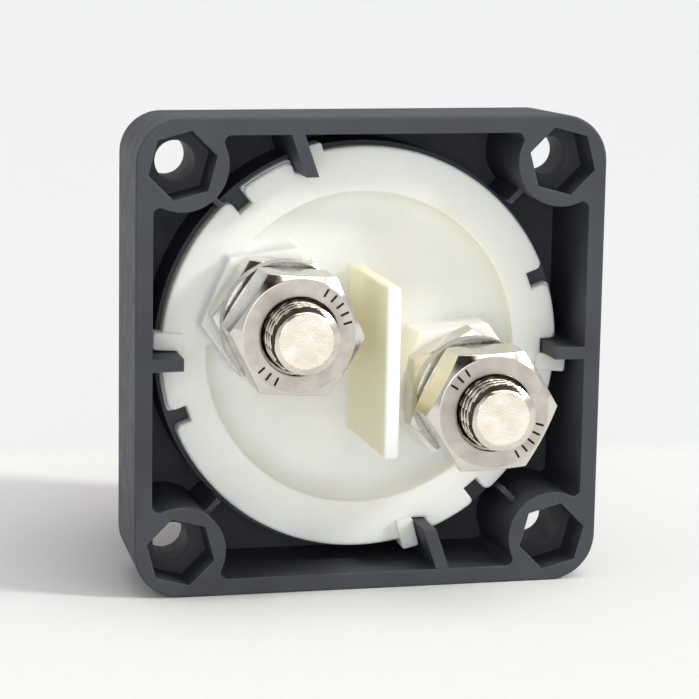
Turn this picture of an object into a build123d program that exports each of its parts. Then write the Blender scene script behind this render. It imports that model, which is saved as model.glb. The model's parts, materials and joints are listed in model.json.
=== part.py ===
from build123d import *

import os
from math import atan, cos, degrees, hypot, radians, sin, sqrt, tan

os.makedirs("parts", exist_ok=True)

# Rotary isolator switch: a square housing that screws to a panel from the front, a moulded contact base
# that closes it from behind with two threaded terminals, and a turning knob that carries a sprung copper bridge.
#
# Millimetres. +Z is up, the knob faces -Y and the terminals stand out along +Y.
# The origin is on the switch's axis, in the plane of the housing's rear rim.
# Every "_Y" value is a place along that axis. Angles are seen from behind, anticlockwise from -X.

# ---- Driving dimensions ------------------------------------------------------------------------------

# Housing
BASE_WIDTH = 69.0
BASE_DEPTH = 20.0
BASE_CORNER_RADIUS = 6.8
BASE_DRAFT = 0.8
BASE_EDGE_RADIUS = 1.6
RIM_EDGE_RADIUS = 0.35
SIDE_WALL = 2.5
FRONT_WALL = 3.0
WALL_CORNER_RADIUS = 1.0
TOWER_RADIUS = 29.5
TOWER_HEIGHT = 17.0
TOWER_ROOF = 3.0
TOWER_BORE_RADIUS = 26.4
TOWER_EDGE_RADIUS = 1.2

# Corner bosses that take the panel screws
SCREW_SPACING = 55.6
BOSS_RADIUS = 6.6
SCREW_HOLE_RADIUS = 2.9
NUT_POCKET_FLATS = 8.8
NUT_POCKET_DEPTH = 6.65
SCREW_HEAD_RADIUS = 5.0
SCREW_HEAD_DEPTH = 4.7
GUSSET_THICKNESS = 0.8
GUSSET_TOP_Y = -4.5

# Locating ribs on the housing's walls
RIB_ANGLES = (-0.8, 109.5, 181.1, 289.3)
RIB_THICKNESS = 1.8
RIB_TIP_RADIUS = 27.5
RIB_CLEARANCE = 0.15
RIB_ROOT_RADIUS = 0.6

# Contact base
FLANGE_RADIUS = 29.6
FLANGE_REAR_Y = -6.5
FLANGE_THICKNESS = 2.5
SPIGOT_RADIUS = 26.8
SPIGOT_CLEARANCE = 0.2
SPIGOT_WALL = 2.4
SPIGOT_END_GAP = 0.4
SEAT_RING_WALL = 3.2
RECESS_RADIUS = 22.95
RECESS_DEPTH = 4.0
RECESS_FILLET = 3.0
FLOOR_THICKNESS = 2.6
NOTCH_ANGLES = (20.2, 129.9, 199.3, 309.1)
NOTCH_WIDTH = 2.4
NOTCH_BOTTOM_RADIUS = 27.0
LUG_RADIUS = 29.8
LUG_DROP = 1.0
LUG_CORNER_RADIUS = 0.5
FLANGE_CORNER_RADIUS = 1.0
TAB_STEP = -4.7
TAB_WIDTH = 2.45
TAB_INNER_RADIUS = 26.6
TAB_OUTER_RADIUS = 31.0
TAB_RISE = 0.9
DIVIDER_THICKNESS = 2.1
DIVIDER_LENGTH = 24.4
DIVIDER_TOP_Y = 11.7
DIVIDER_DROP = 0.4
MOULDED_EDGE_RADIUS = 0.4
MOULDED_ROOT_RADIUS = 0.7

# Terminals
STUD_ANGLE = 157.6
STUD_CIRCLE_RADIUS = 15.25
STUD_RADIUS = 5.0
STUD_LEAD_STEP = 0.2
STUD_END_Y = 18.7
STUD_END_CHAMFER = 1.2
STUD_HEAD_WIDTH = 16.0
STUD_HEAD_CHAMFER = 1.5
STUD_HEAD_THICKNESS = 4.0
STUD_HEAD_RECESS = 1.0
STUD_CLEARANCE = 0.1
PEDESTAL_FLATS = 18.1
PEDESTAL_ANGLE = 7.0
PEDESTAL_REAR_Y = -3.5
NUT_FLATS = 16.73
NUT_CROWN_SHARE = 0.95
NUT_CROWN_SLOPE = 30.0
BASE_NUT_HEIGHT = 5.5
TERMINAL_NUT_HEIGHT = 8.0
NUT_THREAD_CLEARANCE = 0.05
NUT_MOUTH_CHAMFER = 0.6
WASHER_SECTION_WIDTH = 4.0
WASHER_SECTION_HEIGHT = 2.2
WASHER_CLEARANCE = 0.1
WASHER_RISE = 2.0
WASHER_SPLIT = 14.0
WASHER_GAP = 0.03
# Turn of each hexagon, measured to one of its corners: (first terminal, second terminal)
BASE_NUT_ANGLES = (56.0, 27.0)
TERMINAL_NUT_ANGLES = (56.5, 2.5)
WASHER_ANGLES = (150.0, 147.0)
STUD_SEAL_SECTION = 0.5
STUD_SEAL_DEPTH = 1.1

# Contacts
PAD_RADIUS = 5.5
PAD_THICKNESS = 1.4
PAD_CHAMFER = 0.3
CONTACT_GAP = 0.15
TIP_RADIUS = 4.0
TIP_HEIGHT = 1.1
TIP_EDGE_RADIUS = 0.9
BRIDGE_WIDTH = 14.0
BRIDGE_THICKNESS = 3.0
BRIDGE_CHAMFER = 0.4
BRIDGE_END_MARGIN = 6.5
BRIDGE_SIDE_CLEARANCE = 0.3
BRIDGE_LIFT = 1.2
BRIDGE_LIFT_CLEARANCE = 0.25
REST_BOSS_RADIUS = 5.0

# Rotor
TURN = 90.0
ROTOR_RADIUS = 24.2
CHEEK_RADIUS = 23.6
CHEEK_HEIGHT = 3.9
SPRING_POCKET_RADIUS = 8.0
SPRING_POCKET_DEPTH = 4.5
SPRING_MEAN_RADIUS = 5.6
SPRING_WIRE_RADIUS = 0.65
SPRING_TURNS = 3.0
SPRING_SEAT_GAP = 0.05
CUP_THICKNESS = 0.8
CUP_CLEARANCE = 0.2
STOP_TAB_ANGLE = 200.0
STOP_TAB_SPAN = 16.0
STOP_TAB_RADIUS = 25.9
STOP_TAB_MARGIN = 1.5
STOP_BLOCK_SPAN = 10.0
STOP_BLOCK_RADIUS = 24.6
STOP_GAP = 0.5
DETENT_CIRCLE_RADIUS = 18.5
DETENT_BALL_RADIUS = 2.0
DETENT_BALL_PROUD = 0.7
DETENT_HOLE_DEPTH = 6.5
DETENT_CLEARANCE = 0.2
DETENT_WIRE_RADIUS = 0.3
DETENT_TURNS = 4.0

# Shaft
SHAFT_RADIUS = 7.0
SHAFT_CLEARANCE = 0.06
SHAFT_INNER_SQUARE = 9.0
SHAFT_INNER_LENGTH = 3.1
SHAFT_COLLAR_RADIUS = 8.5
SHAFT_COLLAR_THICKNESS = 1.0
SHAFT_ROUND_LENGTH = 7.0
SHAFT_OUTER_SQUARE = 9.8
SHAFT_OUTER_LENGTH = 9.0
SOCKET_CLEARANCE = 0.1
THRUST_WASHER_THICKNESS = 0.6
THRUST_WASHER_RADIUS = 14.0
THRUST_GAP = 0.2
SEAL_SECTION = 0.7
CLIP_THICKNESS = 1.0
CLIP_RADIUS = 9.6
CLIP_GROOVE_DEPTH = 0.8
CLIP_OPENING = 40.0
CLIP_GAP = 0.3
CLIP_CLEARANCE = 0.02
SHAFT_THREAD_RADIUS = 2.0
SHAFT_THREAD_DEPTH = 8.5

# Knob
KNOB_RADIUS = 24.5
KNOB_GAP = 0.6
KNOB_SKIRT_HEIGHT = 10.0
KNOB_SHELL = 2.8
KNOB_EDGE_RADIUS = 1.8
KNOB_FLUTES = 20
KNOB_FLUTE_RADIUS = 3.0
KNOB_FLUTE_DEPTH = 0.9
GRIP_LENGTH = 45.0
GRIP_WIDTH = 13.0
GRIP_HEIGHT = 9.7
GRIP_EDGE_RADIUS = 2.0
HUB_RADIUS = 10.0
HUB_START = 1.4
SCREW_HEAD_HOLE_RADIUS = 4.2
SCREW_HEAD_HOLE_DEPTH = 5.3
KNOB_SCREW_RADIUS = 1.95
KNOB_SCREW_LENGTH = 11.0
KNOB_SCREW_HEAD_RADIUS = 3.8
KNOB_SCREW_HEAD_HEIGHT = 2.4
KNOB_SCREW_HEAD_EDGE = 0.8
CROSS_LENGTH = 3.6
CROSS_WIDTH = 0.9
CROSS_DEPTH = 1.4
CAP_THICKNESS = 2.0
CAP_CLEARANCE = 0.05
CAP_SINK = 0.2
POINTER_ANGLE = 90.0
POINTER_START = 8.0
POINTER_LENGTH = 13.0
POINTER_WIDTH = 2.0
POINTER_DEPTH = 0.8
DIAL_INNER_RADIUS = 25.2
DIAL_OUTER_RADIUS = 28.2
DIAL_THICKNESS = 0.5
MARK_HEIGHT = 0.2
MARK_LENGTH = 2.0
MARK_WIDTH = 0.8

# ---- Places along the axis that follow from the sizes ------------------------------------------------

BASE_FRONT_Y = -BASE_DEPTH
CAVITY_FLOOR_Y = BASE_FRONT_Y + FRONT_WALL
TOWER_FRONT_Y = BASE_FRONT_Y - TOWER_HEIGHT
ROOF_INSIDE_Y = TOWER_FRONT_Y + TOWER_ROOF
FLANGE_FRONT_Y = FLANGE_REAR_Y - FLANGE_THICKNESS
RECESS_FLOOR_Y = FLANGE_REAR_Y - RECESS_DEPTH
CHAMBER_Y = RECESS_FLOOR_Y - FLOOR_THICKNESS
SPIGOT_END_Y = BASE_FRONT_Y + SPIGOT_END_GAP
STUD_HEAD_REAR_Y = CHAMBER_Y + STUD_HEAD_RECESS
STUD_HEAD_FRONT_Y = STUD_HEAD_REAR_Y - STUD_HEAD_THICKNESS
PAD_FRONT_Y = STUD_HEAD_FRONT_Y - PAD_THICKNESS
BASE_NUT_REAR_Y = PEDESTAL_REAR_Y + BASE_NUT_HEIGHT
WASHER_REAR_Y = BASE_NUT_REAR_Y + WASHER_SECTION_HEIGHT + WASHER_RISE + 2 * WASHER_GAP
NUT_REAR_Y = WASHER_REAR_Y + TERMINAL_NUT_HEIGHT
TIP_REAR_Y = PAD_FRONT_Y - CONTACT_GAP
BRIDGE_REAR_Y = TIP_REAR_Y - TIP_HEIGHT
BRIDGE_FRONT_Y = BRIDGE_REAR_Y - BRIDGE_THICKNESS
ROTOR_REAR_Y = BRIDGE_FRONT_Y - BRIDGE_LIFT - BRIDGE_LIFT_CLEARANCE
ROTOR_FRONT_Y = ROOF_INSIDE_Y + THRUST_WASHER_THICKNESS + 2 * THRUST_GAP
ROTOR_THICKNESS = ROTOR_REAR_Y - ROTOR_FRONT_Y
SPRING_SEAT_Y = ROTOR_REAR_Y - SPRING_POCKET_DEPTH
KNOB_REAR_Y = TOWER_FRONT_Y - KNOB_GAP
KNOB_FACE_Y = KNOB_REAR_Y - KNOB_SKIRT_HEIGHT
GRIP_FRONT_Y = KNOB_FACE_Y - GRIP_HEIGHT
SHAFT_ROUND_END_Y = ROTOR_FRONT_Y - SHAFT_ROUND_LENGTH
SHAFT_END_Y = SHAFT_ROUND_END_Y - SHAFT_OUTER_LENGTH
CLIP_REAR_Y = TOWER_FRONT_Y - CLIP_GAP
SEAT_BORE_RADIUS = SPIGOT_RADIUS + SPIGOT_CLEARANCE
CHAMBER_RADIUS = SPIGOT_RADIUS - SPIGOT_WALL
BRIDGE_OFF_ANGLE = STUD_ANGLE - TURN
STUD_LEAD_RADIUS = STUD_RADIUS - STUD_LEAD_STEP
WASHER_BORE_RADIUS = STUD_RADIUS + WASHER_CLEARANCE
CUT_RADIUS = max(FLANGE_RADIUS, LUG_RADIUS) + RIB_THICKNESS


# ---- Helpers -----------------------------------------------------------------------------------------


def rear(y, x=0.0, z=0.0):
    """Plane across the axis at depth y, seen from behind: local x is -X, local y is +Z, normal is +Y."""
    return Plane(origin=(x, y, z), x_dir=(-1, 0, 0), z_dir=(0, 1, 0))


def front(y, x=0.0, z=0.0):
    """Plane across the axis at depth y, seen from the front: local x is +X, local y is +Z, normal is -Y."""
    return Plane(origin=(x, y, z), x_dir=(1, 0, 0), z_dir=(0, -1, 0))


def polar(radius, angle):
    """Point in a rear-view sketch."""
    return (radius * cos(radians(angle)), radius * sin(radians(angle)))


def across_flats(flats):
    """Radius to the corners of a hexagon of this width across its flats."""
    return flats / sqrt(3)


def ring_sector(inner, outer, start, end, mode=Mode.ADD):
    """Piece of a flat ring between two angles, drawn in the open sketch."""
    with BuildLine() as outline:
        CenterArc((0, 0), outer, start, end - start)
        CenterArc((0, 0), inner, start, end - start)
        Line(polar(inner, start), polar(outer, start))
        Line(polar(inner, end), polar(outer, end))
    make_face(outline.edges(), mode=mode)


def save(part, name):
    part.label = name
    export_step(part, f"parts/{name}.step")


def stud_place(index):
    """Rear-view place of a terminal: 0 is the upper one, 1 the lower one."""
    return polar(STUD_CIRCLE_RADIUS, STUD_ANGLE + 180 * index)


def stud_plane(y, index):
    """Rear-view plane at depth y, centred on a terminal."""
    x, z = stud_place(index)
    return rear(y, -x, z)


# ---- Housing -----------------------------------------------------------------------------------------


def rib_outline(angle, margin, reach):
    """Corners of a rib grown by a margin, out to this reach: it points at the axis with its tip along the wall."""
    run, rise = cos(radians(angle)), sin(radians(angle))
    lean = max(abs(run), abs(rise))
    half = (RIB_THICKNESS / 2 + margin) / lean
    step = (half, 0) if abs(rise) > abs(run) else (0, half)
    tip = polar(RIB_TIP_RADIUS - margin / lean, angle)
    root = polar(reach / lean, angle)
    ends = ((tip, -1), (tip, 1), (root, 1), (root, -1))
    return [(x + side * step[0], y + side * step[1]) for (x, y), side in ends]


def make_housing():
    cavity_width = BASE_WIDTH - 2 * SIDE_WALL
    boss_distance = hypot(SCREW_SPACING, SCREW_SPACING) / 2
    with BuildPart() as housing:
        # Square base, drafted towards the front
        with BuildSketch(front(0)):
            RectangleRounded(BASE_WIDTH, BASE_WIDTH, BASE_CORNER_RADIUS)
        extrude(amount=BASE_DEPTH, taper=degrees(atan(BASE_DRAFT / BASE_DEPTH)))
        fillet(housing.faces().sort_by(Axis.Y)[0].edges(), radius=BASE_EDGE_RADIUS)
        fillet(housing.faces().sort_by(Axis.Y)[-1].edges(), radius=RIM_EDGE_RADIUS)

        # Round tower that holds the rotor
        with BuildSketch(front(CAVITY_FLOOR_Y)):
            Circle(TOWER_RADIUS)
        extrude(amount=CAVITY_FLOOR_Y - TOWER_FRONT_Y)
        fillet(housing.faces().sort_by(Axis.Y)[0].edges(), radius=TOWER_EDGE_RADIUS)

        # Rear cavity, which leaves the corner bosses and the locating ribs standing
        with BuildSketch(rear(0)) as cavity:
            Rectangle(cavity_width, cavity_width)
            with GridLocations(SCREW_SPACING, SCREW_SPACING, 2, 2):
                Circle(BOSS_RADIUS, mode=Mode.SUBTRACT)
                corner = (BASE_WIDTH - SCREW_SPACING) / 2
            for side_x in (-1, 1):
                for side_y in (-1, 1):
                    with Locations((side_x * cavity_width / 2, side_y * cavity_width / 2)):
                        Rectangle(corner, corner, mode=Mode.SUBTRACT)
            for angle in RIB_ANGLES:
                rib = rib_outline(angle, 0.0, (BASE_WIDTH - SIDE_WALL) / 2)
                Polygon(*rib, align=None, mode=Mode.SUBTRACT)
            on_wall = [v for v in cavity.vertices() if max(abs(v.X), abs(v.Y)) > cavity_width / 2 - RIB_CLEARANCE]
            rib_roots = [v for v in on_wall if min(abs(v.X), abs(v.Y)) < SCREW_SPACING / 4]
            fillet([v for v in on_wall if v not in rib_roots], radius=WALL_CORNER_RADIUS)
            fillet(rib_roots, radius=RIB_ROOT_RADIUS)
        extrude(amount=CAVITY_FLOOR_Y, mode=Mode.SUBTRACT)

        # Gussets between each corner boss and the seat ring
        with BuildSketch(rear(CAVITY_FLOOR_Y)):
            gusset_end = SEAT_BORE_RADIUS + SEAT_RING_WALL
            gusset_length = boss_distance - gusset_end
            with PolarLocations(gusset_end + gusset_length / 2, 4, start_angle=45):
                Rectangle(gusset_length, GUSSET_THICKNESS)
        extrude(amount=GUSSET_TOP_Y - CAVITY_FLOOR_Y)

        # Ring that the contact base's flange seats on
        with BuildSketch(rear(CAVITY_FLOOR_Y)):
            Circle(SEAT_BORE_RADIUS + SEAT_RING_WALL)
        extrude(amount=FLANGE_FRONT_Y - CAVITY_FLOOR_Y)
        with BuildSketch(rear(FLANGE_FRONT_Y)):
            Circle(SEAT_BORE_RADIUS)
        extrude(amount=BASE_FRONT_Y - FLANGE_FRONT_Y, mode=Mode.SUBTRACT)

        # Bore of the tower, with two stops that the rotor's tab runs between
        first_stop = STOP_TAB_ANGLE - STOP_TAB_SPAN / 2 - STOP_GAP - STOP_BLOCK_SPAN
        last_stop = STOP_TAB_ANGLE + STOP_TAB_SPAN / 2 + STOP_GAP + TURN
        with BuildSketch(rear(BASE_FRONT_Y)):
            Circle(TOWER_BORE_RADIUS)
            outside = TOWER_BORE_RADIUS + SIDE_WALL / 2
            ring_sector(STOP_BLOCK_RADIUS, outside, first_stop, first_stop + STOP_BLOCK_SPAN, Mode.SUBTRACT)
            ring_sector(STOP_BLOCK_RADIUS, outside, last_stop, last_stop + STOP_BLOCK_SPAN, Mode.SUBTRACT)
        extrude(amount=ROOF_INSIDE_Y - BASE_FRONT_Y, mode=Mode.SUBTRACT)

        # Shaft bore and the two arc tracks that the detent balls run in, each with a deeper dimple at both ends
        with BuildSketch(rear(ROOF_INSIDE_Y)):
            Circle(SHAFT_RADIUS + SHAFT_CLEARANCE)
        extrude(amount=-TOWER_ROOF, mode=Mode.SUBTRACT)
        track = DETENT_BALL_RADIUS + DETENT_CLEARANCE
        track_depth = DETENT_BALL_PROUD + DETENT_CLEARANCE
        with BuildSketch(rear(ROOF_INSIDE_Y)):
            for start in detent_angles():
                ring_sector(
                    DETENT_CIRCLE_RADIUS - track, DETENT_CIRCLE_RADIUS + track, start, start + TURN
                )
                with Locations(polar(DETENT_CIRCLE_RADIUS, start), polar(DETENT_CIRCLE_RADIUS, start + TURN)):
                    Circle(track)
        extrude(amount=-track_depth, mode=Mode.SUBTRACT)
        with BuildSketch(rear(ROOF_INSIDE_Y)):
            for start in detent_angles():
                with Locations(polar(DETENT_CIRCLE_RADIUS, start), polar(DETENT_CIRCLE_RADIUS, start + TURN)):
                    Circle(DETENT_BALL_RADIUS)
        extrude(amount=-track_depth - DETENT_BALL_PROUD / 2, mode=Mode.SUBTRACT)

        # Panel screw holes: a hexagon nut pocket behind and a counterbore for the screw head in front
        with BuildSketch(rear(0)):
            with GridLocations(SCREW_SPACING, SCREW_SPACING, 2, 2):
                Circle(SCREW_HOLE_RADIUS)
        extrude(amount=-BASE_DEPTH, mode=Mode.SUBTRACT)
        with BuildSketch(rear(0)):
            with PolarLocations(boss_distance, 4, start_angle=45):
                RegularPolygon(NUT_POCKET_FLATS / 2, 6, major_radius=False)
        extrude(amount=-NUT_POCKET_DEPTH, mode=Mode.SUBTRACT)
        with BuildSketch(front(BASE_FRONT_Y)):
            with GridLocations(SCREW_SPACING, SCREW_SPACING, 2, 2):
                Circle(SCREW_HEAD_RADIUS)
        extrude(amount=-SCREW_HEAD_DEPTH, mode=Mode.SUBTRACT)
    save(housing.part, "housing")


def detent_angles():
    """Rest angles of the two detent balls, half-way between the bridge's ends."""
    return (BRIDGE_OFF_ANGLE + 45, BRIDGE_OFF_ANGLE + 225)


# ---- Contact base ------------------------------------------------------------------------------------


def cut_slots_and_notches():
    """Cut the rib slots and the notches out of the open sketch, and round the corners they leave outside."""
    for angle in RIB_ANGLES:
        Polygon(*rib_outline(angle, RIB_CLEARANCE, CUT_RADIUS), align=None, mode=Mode.SUBTRACT)
    for angle in NOTCH_ANGLES:
        with PolarLocations((NOTCH_BOTTOM_RADIUS + CUT_RADIUS) / 2, 1, start_angle=angle):
            Rectangle(CUT_RADIUS - NOTCH_BOTTOM_RADIUS, NOTCH_WIDTH, mode=Mode.SUBTRACT)


def round_outer_corners(sketch, distance, radius):
    """Round every corner of the sketch that lies near this distance from the axis."""
    corners = [v for v in sketch.vertices() if hypot(v.X, v.Y) > distance - RIB_THICKNESS / 4]
    fillet(corners, radius=radius)


def make_contact_base():
    floor_middle_y = CHAMBER_Y + FLOOR_THICKNESS / 2
    with BuildPart() as base:
        # Flange
        with BuildSketch(rear(FLANGE_FRONT_Y)) as flange:
            Circle(FLANGE_RADIUS)
            cut_slots_and_notches()
            round_outer_corners(flange, FLANGE_RADIUS, FLANGE_CORNER_RADIUS)
        extrude(amount=FLANGE_THICKNESS)
        fillet(base.faces().sort_by(Axis.Y)[-1].edges(), radius=MOULDED_EDGE_RADIUS)

        # Lower lugs that stand out between each rib slot and the notch after it
        with BuildSketch(rear(FLANGE_FRONT_Y)) as lugs:
            for rib_angle, notch_angle in zip(RIB_ANGLES, NOTCH_ANGLES):
                ring_sector(SPIGOT_RADIUS, LUG_RADIUS, rib_angle, notch_angle)
            cut_slots_and_notches()
            round_outer_corners(lugs, LUG_RADIUS, LUG_CORNER_RADIUS)
        extrude(amount=FLANGE_THICKNESS - LUG_DROP)

        # Spigot that drops into the housing's seat ring
        with BuildSketch(rear(FLANGE_FRONT_Y)):
            Circle(SPIGOT_RADIUS)
        extrude(amount=SPIGOT_END_Y - FLANGE_FRONT_Y)

        # Raised tab on the other side of each rib
        with BuildSketch(rear(FLANGE_FRONT_Y)) as tabs:
            for angle in RIB_ANGLES:
                with PolarLocations((TAB_INNER_RADIUS + TAB_OUTER_RADIUS) / 2, 1, start_angle=angle + TAB_STEP):
                    Rectangle(TAB_OUTER_RADIUS - TAB_INNER_RADIUS, TAB_WIDTH)
            fillet(tabs.vertices(), radius=MOULDED_EDGE_RADIUS)
        extrude(amount=FLANGE_THICKNESS + TAB_RISE)

        # Round recess, with a rounded mouth and a swept corner at its floor
        with BuildSketch(rear(FLANGE_REAR_Y)):
            Circle(RECESS_RADIUS)
        extrude(amount=-RECESS_DEPTH, mode=Mode.SUBTRACT)
        rings = base.edges().filter_by(GeomType.CIRCLE).filter_by(lambda e: abs(e.radius - RECESS_RADIUS) < 0.01)
        fillet(rings.sort_by(Axis.Y)[0], radius=RECESS_FILLET)
        rings = base.edges().filter_by(GeomType.CIRCLE).filter_by(lambda e: abs(e.radius - RECESS_RADIUS) < 0.01)
        fillet(rings.sort_by(Axis.Y)[-1], radius=MOULDED_EDGE_RADIUS)

        # Hexagonal pedestals under the terminals
        for index in range(2):
            with BuildSketch(stud_plane(floor_middle_y, index)) as hexagon:
                RegularPolygon(across_flats(PEDESTAL_FLATS), 6, rotation=PEDESTAL_ANGLE)
                fillet(hexagon.vertices(), radius=MOULDED_ROOT_RADIUS)
            extrude(amount=PEDESTAL_REAR_Y - floor_middle_y)
        tops = base.faces().filter_by(Axis.Y).filter_by_position(Axis.Y, PEDESTAL_REAR_Y, PEDESTAL_REAR_Y)
        fillet(tops.edges(), radius=MOULDED_EDGE_RADIUS)

        # Wall between the terminals
        with BuildSketch(rear(floor_middle_y)) as divider:
            with Locations((0, -DIVIDER_DROP)):
                Rectangle(DIVIDER_THICKNESS, DIVIDER_LENGTH)
            fillet(divider.vertices(), radius=MOULDED_EDGE_RADIUS)
        extrude(amount=DIVIDER_TOP_Y - floor_middle_y)
        fillet(base.faces().sort_by(Axis.Y)[-1].edges(), radius=MOULDED_EDGE_RADIUS)
        roots = base.edges().filter_by_position(Axis.Y, RECESS_FLOOR_Y - 0.01, RECESS_FLOOR_Y + 0.01)
        roots = [e for e in roots if hypot(e.center().X, e.center().Z) < RECESS_RADIUS - RECESS_FILLET]
        fillet(roots, radius=MOULDED_ROOT_RADIUS)

        # Contact chamber, open to the front, with raised rests that the bridge stands on when it is off
        with BuildSketch(rear(SPIGOT_END_Y)):
            Circle(CHAMBER_RADIUS)
        extrude(amount=CHAMBER_Y - SPIGOT_END_Y, mode=Mode.SUBTRACT)
        with BuildSketch(rear(CHAMBER_Y)):
            with PolarLocations(STUD_CIRCLE_RADIUS, 2, start_angle=BRIDGE_OFF_ANGLE):
                Circle(REST_BOSS_RADIUS)
        extrude(amount=PAD_FRONT_Y - CHAMBER_Y)

        # Stud holes, the seats of the stud heads and the seats of their seals
        for index in range(2):
            with BuildSketch(stud_plane(CHAMBER_Y, index)):
                Circle(STUD_RADIUS + STUD_CLEARANCE)
            extrude(amount=PEDESTAL_REAR_Y - CHAMBER_Y, mode=Mode.SUBTRACT)
            with BuildSketch(stud_plane(CHAMBER_Y, index)):
                width = STUD_HEAD_WIDTH + 2 * STUD_CLEARANCE
                Rectangle(width, width, rotation=STUD_ANGLE)
            extrude(amount=STUD_HEAD_RECESS, mode=Mode.SUBTRACT)
            with BuildSketch(stud_plane(PEDESTAL_REAR_Y, index)):
                Circle(STUD_RADIUS + STUD_CLEARANCE + 2 * STUD_SEAL_SECTION)
            extrude(amount=-STUD_SEAL_DEPTH, mode=Mode.SUBTRACT)

        # Groove round the spigot for the base seal
        with BuildSketch(rear(base_seal_y() - SEAL_SECTION)):
            Circle(SPIGOT_RADIUS)
            Circle(SPIGOT_RADIUS - 2 * SEAL_SECTION + SPIGOT_CLEARANCE, mode=Mode.SUBTRACT)
        extrude(amount=2 * SEAL_SECTION, mode=Mode.SUBTRACT)
    save(base.part, "contact_base")


def base_seal_y():
    """Depth of the middle of the base seal."""
    return (FLANGE_FRONT_Y + SPIGOT_END_Y) / 2


def make_base_seal():
    make_ring_seal("base_seal", base_seal_y(), SPIGOT_RADIUS - SEAL_SECTION + SPIGOT_CLEARANCE, SEAL_SECTION)


def make_ring_seal(name, y, radius, section, x=0.0, z=0.0):
    """O-ring round the Y axis through (x, z)."""
    with BuildPart() as seal:
        with BuildSketch(Plane(origin=(x, y, z), x_dir=(1, 0, 0), z_dir=(0, 0, 1))):
            with Locations((radius, 0)):
                Circle(section)
        revolve(axis=Axis((x, y, z), (0, 1, 0)))
    save(seal.part, name)


# ---- Terminals ---------------------------------------------------------------------------------------


def make_stud(index, side):
    """Stud with a square head that stops it turning in the contact base, and a slightly thinner free end."""
    with BuildPart() as stud:
        with BuildSketch(stud_plane(STUD_HEAD_FRONT_Y, index)):
            Rectangle(STUD_HEAD_WIDTH, STUD_HEAD_WIDTH, rotation=STUD_ANGLE)
        extrude(amount=STUD_HEAD_THICKNESS)
        chamfer(stud.edges().filter_by(Axis.Y), length=STUD_HEAD_CHAMFER)
        with BuildSketch(stud_plane(STUD_HEAD_REAR_Y, index)):
            Circle(STUD_RADIUS)
        extrude(amount=NUT_REAR_Y - STUD_HEAD_REAR_Y)
        with BuildSketch(stud_plane(NUT_REAR_Y, index)):
            Circle(STUD_LEAD_RADIUS)
        extrude(amount=STUD_END_Y - NUT_REAR_Y)
        chamfer(stud.faces().sort_by(Axis.Y)[-1].edges(), length=STUD_END_CHAMFER)
    save(stud.part, f"terminal_stud_{side}")


def make_contact_pad(index, side):
    """Silver-alloy face brazed to the stud's head."""
    with BuildPart() as pad:
        with BuildSketch(stud_plane(PAD_FRONT_Y, index)):
            Circle(PAD_RADIUS)
        extrude(amount=PAD_THICKNESS)
        chamfer(pad.faces().sort_by(Axis.Y)[0].edges(), length=PAD_CHAMFER)
    save(pad.part, f"contact_pad_{side}")


def make_nut(name, index, front_y, height, angle):
    """Hexagon nut: corners rounded off by a shallow cone at both ends, and a chamfered bore."""
    corner = across_flats(NUT_FLATS)
    crown_radius = NUT_FLATS / 2 * NUT_CROWN_SHARE
    crown = (corner - crown_radius) * tan(radians(NUT_CROWN_SLOPE))
    bore = STUD_RADIUS + NUT_THREAD_CLEARANCE
    x, z = stud_place(index)
    with BuildPart() as nut:
        with BuildSketch(stud_plane(front_y, index)):
            RegularPolygon(corner, 6, rotation=angle)
            Circle(bore, mode=Mode.SUBTRACT)
        extrude(amount=height)
        # Turned outline that trims the corners
        with BuildSketch(Plane(origin=(-x, front_y, z), x_dir=(1, 0, 0), z_dir=(0, 0, 1))):
            with BuildLine():
                Polyline(
                    (0, 0), (crown_radius, 0), (corner, crown), (corner, height - crown),
                    (crown_radius, height), (0, height), close=True,
                )
            make_face()
        revolve(axis=Axis((-x, front_y, z), (0, 1, 0)), mode=Mode.INTERSECT)
        mouths = nut.edges().filter_by(GeomType.CIRCLE).filter_by(lambda e: abs(e.radius - bore) < 0.01)
        chamfer(mouths, length=NUT_MOUTH_CHAMFER)
    save(nut.part, name)


def make_spring_washer(index, side):
    """Split lock washer in its free, sprung-open state: almost one turn of a rectangular section."""
    x, z = stud_place(index)
    radius = WASHER_BORE_RADIUS + WASHER_SECTION_WIDTH / 2
    start_y = BASE_NUT_REAR_Y + WASHER_GAP + WASHER_SECTION_HEIGHT / 2
    sweep_share = (360 - WASHER_SPLIT) / 360
    with BuildPart() as washer:
        with BuildLine() as line:
            Helix(WASHER_RISE / sweep_share, WASHER_RISE, radius, center=(-x, start_y, z), direction=(0, 1, 0))
        start = line.line @ 0
        outward = Vector(start.X + x, 0, start.Z - z)
        with BuildSketch(Plane(origin=start, x_dir=outward, z_dir=line.line % 0)):
            Rectangle(WASHER_SECTION_WIDTH, WASHER_SECTION_HEIGHT)
        sweep(path=line.line, is_frenet=True)
    axis = Axis((-x, 0, z), (0, 1, 0))
    turned = washer.part.rotate(axis, WASHER_ANGLES[index] + WASHER_SPLIT / 2)
    save(turned, f"spring_washer_{side}")


def make_terminals():
    for index, side in enumerate(("upper", "lower")):
        x, z = stud_place(index)
        make_stud(index, side)
        make_contact_pad(index, side)
        make_ring_seal(
            f"stud_seal_{side}", PEDESTAL_REAR_Y - STUD_SEAL_DEPTH + STUD_SEAL_SECTION,
            STUD_RADIUS + STUD_CLEARANCE + STUD_SEAL_SECTION, STUD_SEAL_SECTION, -x, z,
        )
        make_nut(f"base_nut_{side}", index, PEDESTAL_REAR_Y, BASE_NUT_HEIGHT, BASE_NUT_ANGLES[index])
        make_spring_washer(index, side)
        make_nut(f"terminal_nut_{side}", index, WASHER_REAR_Y, TERMINAL_NUT_HEIGHT, TERMINAL_NUT_ANGLES[index])


# ---- Rotor, bridge and shaft -------------------------------------------------------------------------


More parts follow.
